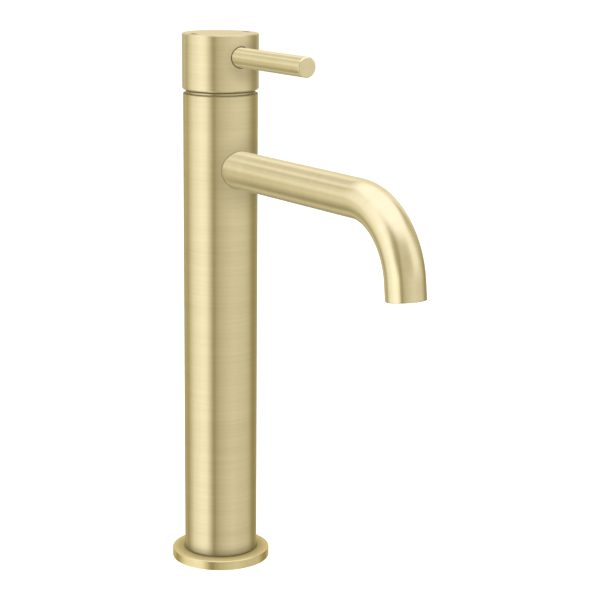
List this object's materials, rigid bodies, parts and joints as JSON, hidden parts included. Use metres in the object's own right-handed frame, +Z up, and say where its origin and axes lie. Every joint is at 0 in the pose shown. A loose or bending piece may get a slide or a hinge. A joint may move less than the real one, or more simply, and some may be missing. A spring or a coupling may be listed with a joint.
{
  "type": "basin mixer faucet",
  "caption": "Tall round brushed brass basin mixer: straight column on a base ring, bent side spout with aerator, and a turning, tilting cap with a pin lever over a ceramic disc cartridge.",
  "frame": {"origin": "on the counter plane at the column axis, the mouth of the fixing stud hole", "axes": "+Z up, +X forward along the spout, +Y towards the cold side"},
  "size_m": [0.227, 0.0606, 0.3286],
  "materials": {
    "brushed_brass": "brushed satin",
    "raw_brass": "machined",
    "copper_pipe": "drawn copper",
    "seal_rubber": "matt",
    "cartridge_plastic": "moulded",
    "disc_ceramic": "lapped",
    "stainless_steel": "turned",
    "red_enamel": "enamel fill",
    "blue_enamel": "enamel fill"
  },
  "bodies": {
    "tap": {"body_column": "brushed_brass", "base_ring": "brushed_brass", "base_ring_seal": "seal_rubber", "base_plug": "raw_brass", "base_plug_o_ring": "seal_rubber", "riser_hot": "copper_pipe", "riser_cold": "copper_pipe", "riser_o_rings": "seal_rubber", "valve_body": "raw_brass", "valve_body_o_rings": "seal_rubber", "cartridge_base": "cartridge_plastic", "cartridge_port_seals": "seal_rubber", "fixed_disc": "disc_ceramic", "cartridge_housing": "cartridge_plastic", "cartridge_nut": "raw_brass", "trim_ring": "brushed_brass", "spout_tube": "brushed_brass", "aerator_housing": "raw_brass", "aerator_insert": "cartridge_plastic", "aerator_screen": "stainless_steel", "aerator_washer": "seal_rubber"},
    "swivel": {"stem_rotor": "cartridge_plastic", "stem_pin": "stainless_steel"},
    "disc": {"moving_disc": "disc_ceramic", "disc_carrier": "cartridge_plastic"},
    "handle": {"cartridge_stem": "stainless_steel", "handle_cap": "brushed_brass", "handle_lever": "brushed_brass", "handle_grub_screw": "stainless_steel", "hot_mark": "red_enamel", "cold_mark": "blue_enamel"}
  },
  "joints": [
    {"name": "handle_swivel", "type": "hinge", "parent": "tap", "child": "swivel", "pos_m": [0, 0, 0.272], "axis": [0, 0, 1], "range_deg": [-45, 45]},
    {"name": "handle_lift", "type": "hinge", "parent": "swivel", "child": "handle", "pos_m": [0, 0, 0.272], "axis": [0, -1, 0], "range_deg": [0, 15]},
    {"name": "disc_slide", "type": "slide", "parent": "swivel", "child": "disc", "axis": [1, 0, 0], "range_m": [0, 0.0027]}
  ],
  "couplings": [
    {"joint": "disc_slide", "follows": "handle_lift", "m_per_rad": 0.01}
  ]
}
